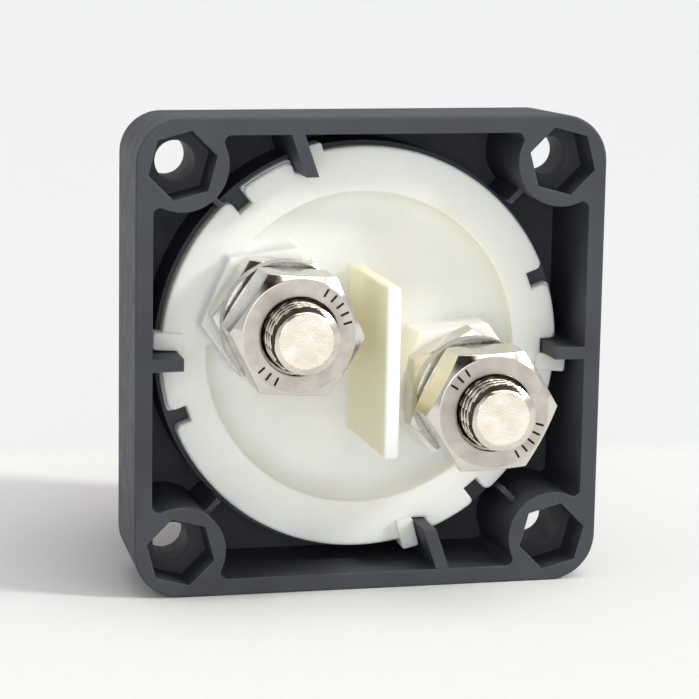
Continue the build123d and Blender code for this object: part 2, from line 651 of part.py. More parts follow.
def make_rotor():
    with BuildPart() as rotor:
        with BuildSketch(rear(ROTOR_FRONT_Y)):
            Circle(ROTOR_RADIUS)
        extrude(amount=ROTOR_THICKNESS)
        # Cheeks that carry the bridge round
        with BuildSketch(rear(ROTOR_REAR_Y)):
            Circle(CHEEK_RADIUS)
            Rectangle(
                2 * CHEEK_RADIUS, BRIDGE_WIDTH + 2 * BRIDGE_SIDE_CLEARANCE, rotation=BRIDGE_OFF_ANGLE,
                mode=Mode.SUBTRACT,
            )
        extrude(amount=CHEEK_HEIGHT)
        # Tab that meets the housing's stops
        with BuildSketch(rear(ROTOR_FRONT_Y + STOP_TAB_MARGIN)):
            half_tab = STOP_TAB_SPAN / 2
            ring_sector(
                SHAFT_COLLAR_RADIUS, STOP_TAB_RADIUS, STOP_TAB_ANGLE - half_tab, STOP_TAB_ANGLE + half_tab
            )
        extrude(amount=ROTOR_THICKNESS - 2 * STOP_TAB_MARGIN)
        # Pocket for the contact spring
        with BuildSketch(rear(ROTOR_REAR_Y)):
            Circle(SPRING_POCKET_RADIUS)
        extrude(amount=-SPRING_POCKET_DEPTH, mode=Mode.SUBTRACT)
        # Seats of the shaft's collar and square end
        with BuildSketch(rear(ROTOR_FRONT_Y)):
            Circle(SHAFT_COLLAR_RADIUS + SOCKET_CLEARANCE)
        extrude(amount=SHAFT_COLLAR_THICKNESS, mode=Mode.SUBTRACT)
        with BuildSketch(rear(ROTOR_FRONT_Y + SHAFT_COLLAR_THICKNESS)):
            square = SHAFT_INNER_SQUARE + 2 * SOCKET_CLEARANCE
            Rectangle(square, square)
        extrude(amount=SHAFT_INNER_LENGTH + SOCKET_CLEARANCE, mode=Mode.SUBTRACT)
        # Holes for the detent balls and their springs
        with BuildSketch(rear(ROTOR_FRONT_Y)):
            for angle in detent_angles():
                with Locations(polar(DETENT_CIRCLE_RADIUS, angle)):
                    Circle(DETENT_BALL_RADIUS + DETENT_CLEARANCE / 4)
        extrude(amount=DETENT_HOLE_DEPTH, mode=Mode.SUBTRACT)
    save(rotor.part, "rotor")


def make_bridge():
    """Copper bar that joins the two stud heads, and the silver-alloy tip riveted near each end."""
    length = 2 * (STUD_CIRCLE_RADIUS + BRIDGE_END_MARGIN)
    with BuildPart() as bridge:
        with BuildSketch(rear(BRIDGE_FRONT_Y)):
            SlotOverall(length, BRIDGE_WIDTH, rotation=BRIDGE_OFF_ANGLE)
        extrude(amount=BRIDGE_THICKNESS)
        chamfer(bridge.faces().sort_by(Axis.Y)[-1].edges(), length=BRIDGE_CHAMFER)
    save(bridge.part, "contact_bridge")
    for name, angle in (("bridge_tip_upper", BRIDGE_OFF_ANGLE), ("bridge_tip_lower", BRIDGE_OFF_ANGLE + 180)):
        x, z = polar(STUD_CIRCLE_RADIUS, angle)
        with BuildPart() as tip:
            with BuildSketch(rear(BRIDGE_REAR_Y, -x, z)):
                Circle(TIP_RADIUS)
            extrude(amount=TIP_HEIGHT)
            fillet(tip.faces().sort_by(Axis.Y)[-1].edges(), radius=TIP_EDGE_RADIUS)
        save(tip.part, name)


def make_coil(name, x, z, low_y, high_y, radius, wire, turns):
    """Compression spring along Y between two depths."""
    height = high_y - low_y - 2 * wire
    with BuildPart() as coil:
        with BuildLine() as line:
            Helix(height / turns, height, radius, center=(x, low_y + wire, z), direction=(0, 1, 0))
        with BuildSketch(Plane(origin=line.line @ 0, z_dir=line.line % 0)):
            Circle(wire)
        sweep(path=line.line, is_frenet=True)
    save(coil.part, name)


def make_contact_spring():
    with BuildPart() as cup:
        with BuildSketch(rear(SPRING_SEAT_Y)):
            Circle(SPRING_POCKET_RADIUS - CUP_CLEARANCE)
        extrude(amount=CUP_THICKNESS)
        with BuildSketch(rear(SPRING_SEAT_Y + CUP_THICKNESS)):
            Circle(SPRING_MEAN_RADIUS - SPRING_WIRE_RADIUS - CUP_CLEARANCE)
        extrude(amount=CUP_THICKNESS)
    save(cup.part, "spring_cup")
    make_coil(
        "contact_spring", 0, 0, SPRING_SEAT_Y + CUP_THICKNESS + SPRING_SEAT_GAP, BRIDGE_FRONT_Y - SPRING_SEAT_GAP,
        SPRING_MEAN_RADIUS, SPRING_WIRE_RADIUS, SPRING_TURNS,
    )


def make_detents():
    hole_end_y = ROTOR_FRONT_Y + DETENT_HOLE_DEPTH
    ball_y = ROOF_INSIDE_Y - DETENT_BALL_PROUD + DETENT_BALL_RADIUS
    for name, angle in zip(("upper", "lower"), detent_angles()):
        x, z = polar(DETENT_CIRCLE_RADIUS, angle)
        with BuildPart() as ball:
            with BuildSketch(Plane(origin=(-x, ball_y, z), x_dir=(1, 0, 0), z_dir=(0, 0, 1))):
                with BuildLine():
                    CenterArc((0, 0), DETENT_BALL_RADIUS, -90, 180)
                    Line((0, -DETENT_BALL_RADIUS), (0, DETENT_BALL_RADIUS))
                make_face()
            revolve(axis=Axis((-x, ball_y, z), (0, 1, 0)))
        save(ball.part, f"detent_ball_{name}")
        make_coil(
            f"detent_spring_{name}", -x, z,
            ball_y + DETENT_BALL_RADIUS + SPRING_SEAT_GAP, hole_end_y - SPRING_SEAT_GAP,
            DETENT_BALL_RADIUS - 2 * DETENT_WIRE_RADIUS, DETENT_WIRE_RADIUS, DETENT_TURNS,
        )


def make_shaft():
    clip_groove_radius = SHAFT_RADIUS - CLIP_GROOVE_DEPTH
    seal_groove_radius = SHAFT_RADIUS - 2 * SEAL_SECTION
    with BuildPart() as shaft:
        with BuildSketch(rear(ROTOR_FRONT_Y + SHAFT_COLLAR_THICKNESS)):
            Rectangle(SHAFT_INNER_SQUARE, SHAFT_INNER_SQUARE)
        extrude(amount=SHAFT_INNER_LENGTH)
        with BuildSketch(rear(ROTOR_FRONT_Y)):
            Circle(SHAFT_COLLAR_RADIUS)
        extrude(amount=SHAFT_COLLAR_THICKNESS)
        with BuildSketch(rear(SHAFT_ROUND_END_Y)):
            Circle(SHAFT_RADIUS)
        extrude(amount=SHAFT_ROUND_LENGTH)
        with BuildSketch(rear(SHAFT_END_Y)):
            Rectangle(SHAFT_OUTER_SQUARE, SHAFT_OUTER_SQUARE)
        extrude(amount=SHAFT_OUTER_LENGTH)
        with BuildSketch(rear(CLIP_REAR_Y)):
            Circle(SHAFT_RADIUS)
            Circle(clip_groove_radius, mode=Mode.SUBTRACT)
        extrude(amount=-CLIP_THICKNESS, mode=Mode.SUBTRACT)
        with BuildSketch(rear(shaft_seal_y() + SEAL_SECTION)):
            Circle(SHAFT_RADIUS)
            Circle(seal_groove_radius, mode=Mode.SUBTRACT)
        extrude(amount=-2 * SEAL_SECTION, mode=Mode.SUBTRACT)
        with BuildSketch(front(SHAFT_END_Y)):
            Circle(SHAFT_THREAD_RADIUS)
        extrude(amount=-SHAFT_THREAD_DEPTH, mode=Mode.SUBTRACT)
    save(shaft.part, "drive_shaft")
    make_ring_seal("shaft_seal", shaft_seal_y(), SHAFT_RADIUS - SEAL_SECTION, SEAL_SECTION)

    with BuildPart() as clip:
        with BuildSketch(rear(CLIP_REAR_Y)):
            half_opening = CLIP_OPENING / 2
            ring_sector(clip_groove_radius + CLIP_CLEARANCE, CLIP_RADIUS, -90 + half_opening, 270 - half_opening)
        extrude(amount=-CLIP_THICKNESS)
    save(clip.part, "shaft_clip")

    with BuildPart() as washer:
        with BuildSketch(rear(ROTOR_FRONT_Y - THRUST_GAP)):
            Circle(THRUST_WASHER_RADIUS)
            Circle(SHAFT_RADIUS + 2 * THRUST_GAP, mode=Mode.SUBTRACT)
        extrude(amount=-THRUST_WASHER_THICKNESS)
    save(washer.part, "thrust_washer")


def shaft_seal_y():
    """Depth of the middle of the shaft seal, half-way through the housing's roof."""
    return TOWER_FRONT_Y + TOWER_ROOF / 2


# ---- Knob and dial -----------------------------------------------------------------------------------


def make_knob():
    flute_circle = KNOB_RADIUS + KNOB_FLUTE_RADIUS - KNOB_FLUTE_DEPTH
    with BuildPart() as knob:
        # Fluted skirt
        with BuildSketch(front(KNOB_REAR_Y)):
            Circle(KNOB_RADIUS)
        extrude(amount=KNOB_SKIRT_HEIGHT)
        fillet(knob.faces().sort_by(Axis.Y)[0].edges(), radius=KNOB_EDGE_RADIUS)
        with BuildSketch(front(KNOB_REAR_Y)):
            with PolarLocations(flute_circle, KNOB_FLUTES, start_angle=POINTER_ANGLE + 180 / KNOB_FLUTES):
                Circle(KNOB_FLUTE_RADIUS)
        extrude(amount=KNOB_SKIRT_HEIGHT, mode=Mode.SUBTRACT)
        # Grip bar
        with BuildSketch(front(KNOB_FACE_Y)):
            SlotOverall(GRIP_LENGTH, GRIP_WIDTH, rotation=POINTER_ANGLE)
        extrude(amount=GRIP_HEIGHT)
        fillet(knob.faces().sort_by(Axis.Y)[0].edges(), radius=GRIP_EDGE_RADIUS)
        # Hollow underside with the hub standing in it
        with BuildSketch(front(KNOB_REAR_Y)):
            Circle(KNOB_RADIUS - KNOB_FLUTE_DEPTH - KNOB_SHELL)
            Circle(HUB_RADIUS, mode=Mode.SUBTRACT)
        extrude(amount=KNOB_SKIRT_HEIGHT - KNOB_SHELL, mode=Mode.SUBTRACT)
        with BuildSketch(front(KNOB_REAR_Y)):
            Circle(HUB_RADIUS)
        extrude(amount=HUB_START, mode=Mode.SUBTRACT)
        # Square socket, screw hole and screw-head hole
        socket_end_y = SHAFT_END_Y - SOCKET_CLEARANCE
        with BuildSketch(front(KNOB_REAR_Y)):
            square = SHAFT_OUTER_SQUARE + 2 * SOCKET_CLEARANCE
            Rectangle(square, square)
        extrude(amount=KNOB_REAR_Y - socket_end_y, mode=Mode.SUBTRACT)
        with BuildSketch(front(KNOB_REAR_Y)):
            Circle(SHAFT_RADIUS + SOCKET_CLEARANCE)
        extrude(amount=KNOB_REAR_Y - SHAFT_ROUND_END_Y + SOCKET_CLEARANCE, mode=Mode.SUBTRACT)
        with BuildSketch(front(socket_end_y)):
            Circle(KNOB_SCREW_RADIUS + SOCKET_CLEARANCE)
        extrude(amount=socket_end_y - GRIP_FRONT_Y, mode=Mode.SUBTRACT)
        with BuildSketch(rear(GRIP_FRONT_Y)):
            Circle(SCREW_HEAD_HOLE_RADIUS)
        extrude(amount=SCREW_HEAD_HOLE_DEPTH, mode=Mode.SUBTRACT)
        # Groove for the pointer
        with BuildSketch(rear(GRIP_FRONT_Y)):
            pointer_outline()
        extrude(amount=POINTER_DEPTH, mode=Mode.SUBTRACT)
    save(knob.part, "knob")


def pointer_outline():
    """Slot that runs out along the grip bar, drawn in the open sketch."""
    with Locations(polar(POINTER_START + POINTER_LENGTH / 2, POINTER_ANGLE)):
        SlotOverall(POINTER_LENGTH, POINTER_WIDTH, rotation=POINTER_ANGLE)


def make_knob_fittings():
    head_rear_y = GRIP_FRONT_Y + SCREW_HEAD_HOLE_DEPTH
    with BuildPart() as screw:
        with BuildSketch(front(head_rear_y)):
            Circle(KNOB_SCREW_HEAD_RADIUS)
        extrude(amount=KNOB_SCREW_HEAD_HEIGHT)
        fillet(screw.faces().sort_by(Axis.Y)[0].edges(), radius=KNOB_SCREW_HEAD_EDGE)
        with BuildSketch(rear(head_rear_y)):
            Circle(KNOB_SCREW_RADIUS)
        extrude(amount=KNOB_SCREW_LENGTH)
        with BuildSketch(front(head_rear_y - KNOB_SCREW_HEAD_HEIGHT)):
            Rectangle(CROSS_LENGTH, CROSS_WIDTH)
            Rectangle(CROSS_WIDTH, CROSS_LENGTH)
        extrude(amount=-CROSS_DEPTH, mode=Mode.SUBTRACT)
    save(screw.part, "knob_screw")

    with BuildPart() as cap:
        with BuildSketch(rear(GRIP_FRONT_Y + CAP_SINK)):
            Circle(SCREW_HEAD_HOLE_RADIUS - CAP_CLEARANCE)
        extrude(amount=CAP_THICKNESS)
    save(cap.part, "knob_cap")

    with BuildPart() as pointer:
        with BuildSketch(rear(GRIP_FRONT_Y)):
            pointer_outline()
        extrude(amount=POINTER_DEPTH)
    save(pointer.part, "knob_pointer")


def make_dial():
    """Ring on the tower's face, with a ring mark where the switch is off and a bar mark where it is on."""
    mark_circle = (DIAL_INNER_RADIUS + DIAL_OUTER_RADIUS) / 2
    dial_front_y = TOWER_FRONT_Y - DIAL_THICKNESS
    with BuildPart() as ring:
        with BuildSketch(rear(TOWER_FRONT_Y)):
            Circle(DIAL_OUTER_RADIUS)
            Circle(DIAL_INNER_RADIUS, mode=Mode.SUBTRACT)
        extrude(amount=-DIAL_THICKNESS)
    save(ring.part, "dial_ring")

    with BuildPart() as off_mark:
        with BuildSketch(rear(dial_front_y)):
            with Locations(polar(mark_circle, POINTER_ANGLE)):
                Circle(MARK_LENGTH / 2)
                Circle(MARK_LENGTH / 2 - MARK_WIDTH / 2, mode=Mode.SUBTRACT)
        extrude(amount=-MARK_HEIGHT)
    save(off_mark.part, "off_mark")

    with BuildPart() as on_mark:
        with BuildSketch(rear(dial_front_y)):
            with Locations(polar(mark_circle, POINTER_ANGLE + TURN)):
                Rectangle(MARK_LENGTH, MARK_WIDTH)
        extrude(amount=-MARK_HEIGHT)
    save(on_mark.part, "on_mark")


make_housing()
make_contact_base()
make_base_seal()
make_terminals()
make_rotor()
make_bridge()
make_contact_spring()
make_detents()
make_shaft()
make_knob()
make_knob_fittings()
make_dial()
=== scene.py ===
import json
from math import atan2, ceil, cos, hypot, pi, radians, sin, tan

import bmesh
import bpy
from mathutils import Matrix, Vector, noise


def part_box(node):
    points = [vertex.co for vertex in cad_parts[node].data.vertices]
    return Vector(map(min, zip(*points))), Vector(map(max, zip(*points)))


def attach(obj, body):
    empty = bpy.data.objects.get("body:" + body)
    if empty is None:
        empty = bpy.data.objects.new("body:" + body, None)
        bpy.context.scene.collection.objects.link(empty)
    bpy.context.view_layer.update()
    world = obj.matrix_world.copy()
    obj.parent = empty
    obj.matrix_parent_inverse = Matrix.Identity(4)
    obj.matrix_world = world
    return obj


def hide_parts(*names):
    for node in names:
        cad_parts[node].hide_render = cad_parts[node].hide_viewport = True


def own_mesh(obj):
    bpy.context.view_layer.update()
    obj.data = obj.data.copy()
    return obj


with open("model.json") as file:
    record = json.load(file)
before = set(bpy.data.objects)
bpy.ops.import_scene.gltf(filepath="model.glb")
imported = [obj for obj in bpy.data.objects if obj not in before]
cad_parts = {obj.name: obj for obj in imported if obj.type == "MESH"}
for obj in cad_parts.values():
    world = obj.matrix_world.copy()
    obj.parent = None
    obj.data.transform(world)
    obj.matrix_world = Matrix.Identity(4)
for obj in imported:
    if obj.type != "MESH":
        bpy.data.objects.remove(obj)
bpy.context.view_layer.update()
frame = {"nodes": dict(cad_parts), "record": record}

# Rotary isolator switch, in metres: +Z up, the knob faces -Y, the terminals stand out along +Y.
# The origin is on the switch's axis, in the plane of the housing's rear rim.

MM = 0.001

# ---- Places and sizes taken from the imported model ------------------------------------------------

SIDES = ("upper", "lower")
MOUNTS = {mount["name"]: mount for mount in frame["record"]["mounts"]}
STUD_CENTRES = {side: Vector(MOUNTS[f"stud_{side}"]["pos_m"]) for side in SIDES}
STUD_BOXES = {side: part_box(f"terminal_stud_{side}") for side in SIDES}
STUD_END_Y = STUD_BOXES["upper"][1].y
STUD_HEAD_FRONT_Y = STUD_BOXES["upper"][0].y
BASE_NUT_BOXES = {side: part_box(f"base_nut_{side}") for side in SIDES}
TERMINAL_NUT_BOXES = {side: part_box(f"terminal_nut_{side}") for side in SIDES}
FLOOR_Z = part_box("housing")[0].z

# Divider between the terminals, from the recess floor to its free edge.
# Along each axis, its painted glow, a warm tone for light that shines through the nylon, starts to fade and
# ends at these distances from its middle.
DIVIDER_PAINTED_GLOW = 0.75
DIVIDER_EDGE_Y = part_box("contact_base")[1].y
DIVIDER_FLOOR_Y = -10.5 * MM
DIVIDER_MIDDLE = {"X": 0.0, "Y": (DIVIDER_EDGE_Y + DIVIDER_FLOOR_Y) / 2, "Z": 0.0}
DIVIDER_REACH_Y = (DIVIDER_EDGE_Y - DIVIDER_FLOOR_Y) / 2
DIVIDER_GLOW_FADES = (
    ("X", 1.3 * MM, 2.2 * MM),
    ("Y", DIVIDER_REACH_Y - 1.2 * MM, DIVIDER_REACH_Y - 0.2 * MM),
    ("Z", 12.4 * MM, 13.2 * MM),
)

# M10 terminal: coarse thread, and nuts with crowned corners
THREAD_PITCH = 1.5 * MM
THREAD_MAJOR = 4.93 * MM
THREAD_MINOR = 4.1 * MM
STUD_FACE_RADIUS = 3.8 * MM
STUD_CHAMFER_SLOPE = 1.5
STUD_HEAD_WIDTH = 16 * MM
STUD_HEAD_THICKNESS = 4 * MM
STUD_HEAD_CHAMFER = 1.5 * MM
STUD_TURN = 157.6
NUT_FLATS = 16.73 * MM
NUT_CROWN_RADIUS = 0.95 * NUT_FLATS / 2
NUT_CROWN_SLOPE = 30.0
NUT_BORE_RADIUS = 5.03 * MM
NUT_MOUTH_RADIUS = 5.6 * MM
NUT_EDGE = 0.12 * MM
BASE_NUT_TURNS = {"upper": 56.0, "lower": 27.0}
TERMINAL_NUT_TURNS = {"upper": 56.5, "lower": 2.5}

# ---- Node helper and colours ---------------------------------------------------------------------


def linear(hex_colour):
    """sRGB hex colour as the linear values that Blender wants."""
    values = [int(hex_colour[i:i + 2], 16) / 255 for i in (1, 3, 5)]
    return tuple(v / 12.92 if v <= 0.04045 else ((v + 0.055) / 1.055) ** 2.4 for v in values) + (1.0,)


def add(tree, kind, inputs=None, **settings):
    """Add a node. An input's value is a plain value, or (node, output name) for a link."""
    made = tree.nodes.new(kind)
    for name, value in settings.items():
        setattr(made, name, value)
    for socket, value in (inputs or {}).items():
        if isinstance(value, tuple) and isinstance(value[0], bpy.types.Node):
            tree.links.new(value[0].outputs[value[1]], made.inputs[socket])
        else:
            made.inputs[socket].default_value = value
    return made


def start_material(name, **shader_values):
    """New material: returns (material, tree, shader, link to the position in the row frame)."""
    made = bpy.data.materials.new(name)
    made.use_nodes = True
    tree = made.node_tree
    shader = tree.nodes["Principled BSDF"]
    for socket, value in shader_values.items():
        shader.inputs[socket.replace("_", " ")].default_value = value
    place = add(tree, "ShaderNodeTexCoord")
    return made, tree, shader, (place, "Object")


def per_mm(size_mm):
    """Noise scale that gives features of about this size."""
    return 1 / (size_mm * MM)


def mottle(tree, place, size_mm, low, high, detail=3.0):
    """Noise of this feature size, spread over low to high: returns the link to its value."""
    cloud = add(tree, "ShaderNodeTexNoise", {"Vector": place, "Scale": per_mm(size_mm), "Detail": detail})
    spread = add(tree, "ShaderNodeMapRange", {
        "Value": (cloud, "Fac"), "From Min": 0.3, "From Max": 0.7, "To Min": low, "To Max": high,
    })
    return (spread, "Result")


def two_tone(tree, share, first, second):
    """Blend of two hex colours: returns the link to its colour."""
    blend = add(tree, "ShaderNodeMix", {0: share, 6: linear(first), 7: linear(second)}, data_type="RGBA")
    return (blend, 2)


def edge_share(tree, radius_mm, gain):
    """How near an edge a point is, from 0 to 1, found from the rounded normal."""
    soft = add(tree, "ShaderNodeBevel", {"Radius": radius_mm * MM}, samples=4)
    flat = add(tree, "ShaderNodeNewGeometry")
    likeness = add(tree, "ShaderNodeVectorMath", {
        0: (soft, "Normal"), 1: (flat, "Normal"),
    }, operation="DOT_PRODUCT")
    share = add(tree, "ShaderNodeMapRange", {
        "Value": (likeness, "Value"), "From Min": 1.0, "From Max": 1.0 - gain, "To Min": 0.0, "To Max": 1.0,
    })
    return (share, "Result")


def finish_bump(tree, shader, height, distance_mm, edge_mm):
    """Give the shader a bump on top of softened edges."""
    soft = add(tree, "ShaderNodeBevel", {"Radius": edge_mm * MM}, samples=4)
    bump = add(tree, "ShaderNodeBump", {
        "Height": height, "Distance": distance_mm * MM, "Strength": 1.0, "Normal": (soft, "Normal"),
    })
    tree.links.new(bump.outputs["Normal"], shader.inputs["Normal"])


# ---- Materials -----------------------------------------------------------------------------------


def housing_plastic():
    """Glass-filled nylon from a spark-eroded tool: a dry, fine grain, and a painted edge highlight that
    makes the colour a little lighter along its edges.
    """
    made, tree, shader, place = start_material("glass_filled_nylon_spark_eroded", IOR=1.5)
    # Grain of a spark-eroded tool is about 0.05 mm, drawn at 0.22 mm so that it shows
    grain = mottle(tree, place, 0.22, 0.0, 1.0, detail=2.0)
    # Flow and handling marks, 6 mm across
    cloud = mottle(tree, place, 6.0, 0.0, 1.0)
    base = two_tone(tree, cloud, "#2b2d33", "#363940")
    speck_share = add(tree, "ShaderNodeMath", {0: grain, 1: 0.3}, operation="MULTIPLY")
    speckled = add(tree, "ShaderNodeMix", {
        0: (speck_share, 0), 6: base, 7: linear("#484c54"),
    }, data_type="RGBA")
    # Painted highlight: lighter colour near the edges, found from the rounded normal
    painted_edge_highlight = add(tree, "ShaderNodeMix", {
        0: edge_share(tree, 0.35, 0.5), 6: (speckled, 2), 7: linear("#555962"),
    }, data_type="RGBA")
    tree.links.new(painted_edge_highlight.outputs[2], shader.inputs["Base Color"])
    rough = mottle(tree, place, 3.0, 0.5, 0.64)
    tree.links.new(rough[0].outputs[rough[1]], shader.inputs["Roughness"])
    finish_bump(tree, shader, grain, 0.02, 0.25)
    return made


def ivory_nylon():
    """Natural nylon, moulded and unfilled: satin and milky, so light soaks in and comes out warm."""
    made, tree, shader, place = start_material(
        "unfilled_nylon_moulded", IOR=1.53, Subsurface_Weight=0.6,
        Subsurface_Radius=(1.0, 0.82, 0.42), Subsurface_Scale=3.2 * MM,
    )
    # Cloudy flow marks 9 mm across, and a satin grain drawn at 0.5 mm
    cloud = mottle(tree, place, 9.0, 0.0, 1.0, detail=4.0)
    grain = mottle(tree, place, 0.5, 0.0, 1.0)
    colour = two_tone(tree, cloud, "#f5f5ee", "#eeefe7")
    # Painted glow on the divider's two sides, between the terminals: a warmer tone standing in for light
    # that shines through the thin nylon
    spot = add(tree, "ShaderNodeSeparateXYZ", {0: place})
    painted_glow = DIVIDER_PAINTED_GLOW
    for axis, start, end in DIVIDER_GLOW_FADES:
        away = add(tree, "ShaderNodeMath", {0: (spot, axis), 1: DIVIDER_MIDDLE[axis]}, operation="SUBTRACT")
        distance = add(tree, "ShaderNodeMath", {0: (away, 0)}, operation="ABSOLUTE")
        inside = add(tree, "ShaderNodeMapRange", {
            "Value": (distance, 0), "From Min": end, "From Max": start, "To Min": 0.0, "To Max": 1.0,
        })
        product = add(tree, "ShaderNodeMath", {0: (inside, "Result"), 1: painted_glow}, operation="MULTIPLY")
        painted_glow = (product, 0)
    glow_tinted = add(tree, "ShaderNodeMix", {0: painted_glow, 6: colour, 7: linear("#fbefcc")}, data_type="RGBA")
    tree.links.new(glow_tinted.outputs[2], shader.inputs["Base Color"])
    rough = mottle(tree, place, 1.2, 0.4, 0.55)
    tree.links.new(rough[0].outputs[rough[1]], shader.inputs["Roughness"])
    finish_bump(tree, shader, grain, 0.018, 0.2)
    return made


def turned_steel(name, centre, first, second, low_rough, high_rough, ring_mm=0.35, ring_depth_mm=0.004):
    """Bright steel with the faint rings that a facing tool leaves about the terminal's axis."""
    made, tree, shader, place = start_material(name, Metallic=1.0)
    from_axis = add(tree, "ShaderNodeVectorMath", {0: place, 1: tuple(centre)}, operation="SUBTRACT")
    flat = add(tree, "ShaderNodeVectorMath", {0: (from_axis, "Vector"), 1: (1, 0, 1)}, operation="MULTIPLY")
    radius = add(tree, "ShaderNodeVectorMath", {0: (flat, "Vector")}, operation="LENGTH")
    # Turning feed, drawn at ring_mm
    rings = add(tree, "ShaderNodeTexNoise", {
        "W": (radius, "Value"), "Scale": per_mm(ring_mm), "Detail": 2.0,
    }, noise_dimensions="1D")
    smear = mottle(tree, place, 2.5, 0.0, 1.0, detail=5.0)
    colour = two_tone(tree, smear, first, second)
    tree.links.new(colour[0].outputs[colour[1]], shader.inputs["Base Color"])
    rough = mottle(tree, place, 1.0, low_rough, high_rough, detail=5.0)
    tree.links.new(rough[0].outputs[rough[1]], shader.inputs["Roughness"])
    finish_bump(tree, shader, (rings, "Fac"), ring_depth_mm, 0.12)
    return made


def plain_metal(name, first, second, low_rough, high_rough, size_mm, depth_mm, edge_mm=0.15):
    """Metal with a smeared colour, a patchy polish and fine pits or drawing marks."""
    made, tree, shader, place = start_material(name, Metallic=1.0)
    smear = mottle(tree, place, 3 * size_mm, 0.0, 1.0, detail=4.0)
    colour = two_tone(tree, smear, first, second)
    tree.links.new(colour[0].outputs[colour[1]], shader.inputs["Base Color"])
    rough = mottle(tree, place, size_mm, low_rough, high_rough, detail=4.0)
    tree.links.new(rough[0].outputs[rough[1]], shader.inputs["Roughness"])
    pits = mottle(tree, place, size_mm / 3, 0.0, 1.0, detail=3.0)
    finish_bump(tree, shader, pits, depth_mm, edge_mm)
    return made


def moulded_plastic(
    name, first, second, low_rough, high_rough, grain_mm=0.3, depth_mm=0.012, edge_mm=0.25, ior=1.5,
):
    """Moulded plastic with a fine tool grain and soft variation of colour and gloss."""
    made, tree, shader, place = start_material(name, IOR=ior)
    cloud = mottle(tree, place, 7.0, 0.0, 1.0, detail=3.0)
    colour = two_tone(tree, cloud, first, second)
    tree.links.new(colour[0].outputs[colour[1]], shader.inputs["Base Color"])
    rough = mottle(tree, place, 2.0, low_rough, high_rough)
    tree.links.new(rough[0].outputs[rough[1]], shader.inputs["Roughness"])
    grain = mottle(tree, place, grain_mm, 0.0, 1.0, detail=2.0)
    finish_bump(tree, shader, grain, depth_mm, edge_mm)
    return made


HOUSING_PLASTIC = housing_plastic()
IVORY_NYLON = ivory_nylon()
NUT_STEEL = {
    side: turned_steel(f"a2_stainless_nut_{side}", STUD_CENTRES[side], "#e0dcd4", "#d2cdc4", 0.1, 0.2)
    for side in SIDES
}
STUD_STEEL = {
    side: turned_steel(
        f"nickel_plated_stud_{side}", STUD_CENTRES[side], "#e6dfd3", "#d3cbbd", 0.2, 0.32, 0.5, 0.006,
    )
    for side in SIDES
}
STUD_FACE_STEEL = plain_metal(
    "sheared_stud_face", "#f2ebdf", "#ded5c6", 0.42, 0.6, size_mm=0.8, depth_mm=0.05, edge_mm=0.1,
)
# Dark colour for the thread roots: painted shade in the grooves
THREAD_ROOT_PAINTED_SHADE = plain_metal(
    "thread_root_painted_shade", "#4a423b", "#352f2a", 0.4, 0.6, size_mm=0.5, depth_mm=0.004, edge_mm=0.03,
)
NUT_FACE_STEEL = plain_metal(
    "faced_a2_stainless", "#cfc8c0", "#b3aba3", 0.26, 0.42, size_mm=0.9, depth_mm=0.006,
)
WASHER_STEEL = plain_metal(
    "flattened_spring_wire", "#c4c2bd", "#aaa8a3", 0.16, 0.3, size_mm=0.8, depth_mm=0.008,
)
SPRING_STEEL = plain_metal(
    "drawn_spring_wire", "#9b9c9e", "#838488", 0.25, 0.4, size_mm=0.4, depth_mm=0.004, edge_mm=0.05,
)
BRIGHT_STEEL = plain_metal(
    "machined_stainless", "#cfccc6", "#bdb9b2", 0.2, 0.34, size_mm=0.8, depth_mm=0.005,
)
SILVER_ALLOY = plain_metal(
    "coined_silver_alloy", "#e4e3de", "#cfccc4", 0.25, 0.42, size_mm=0.7, depth_mm=0.008,
)
COPPER = plain_metal("tumbled_copper", "#d08a66", "#b36f4f", 0.28, 0.45, size_mm=1.2, depth_mm=0.01)
SEAL_RUBBER = moulded_plastic(
    "nitrile_rubber", "#1b1c1d", "#262728", 0.6, 0.75, 0.4, 0.01, 0.05, ior=1.52,
)
ROTOR_PLASTIC = moulded_plastic("glass_filled_rotor_nylon", "#35363a", "#2b2c30", 0.45, 0.6)
SLIP_PLASTIC = moulded_plastic(
    "skived_ptfe_sheet", "#f0efe9", "#e4e3dc", 0.4, 0.5, 0.5, 0.006, 0.1, ior=1.38,
)
KNOB_PLASTIC = moulded_plastic(
    "red_abs_satin", "#b3201c", "#a31a18", 0.34, 0.46, 0.35, 0.012, 0.3, ior=1.54,
)
POINTER_PLASTIC = moulded_plastic(
    "white_abs_inlay", "#f1f0ea", "#e5e4dd", 0.3, 0.42, 0.3, 0.006, 0.1, ior=1.54,
)
DIAL_PLASTIC = moulded_plastic(
    "grey_polycarbonate_ring", "#b6b8bb", "#a9abaf", 0.38, 0.5, 0.3, 0.008, 0.1, ior=1.58,
)
OFF_PAINT = moulded_plastic("red_enamel_mark", "#b21f1d", "#9f1a18", 0.28, 0.38, 0.3, 0.004, 0.05)
ON_PAINT = moulded_plastic("green_enamel_mark", "#2c8347", "#25733d", 0.28, 0.38, 0.3, 0.004, 0.05)

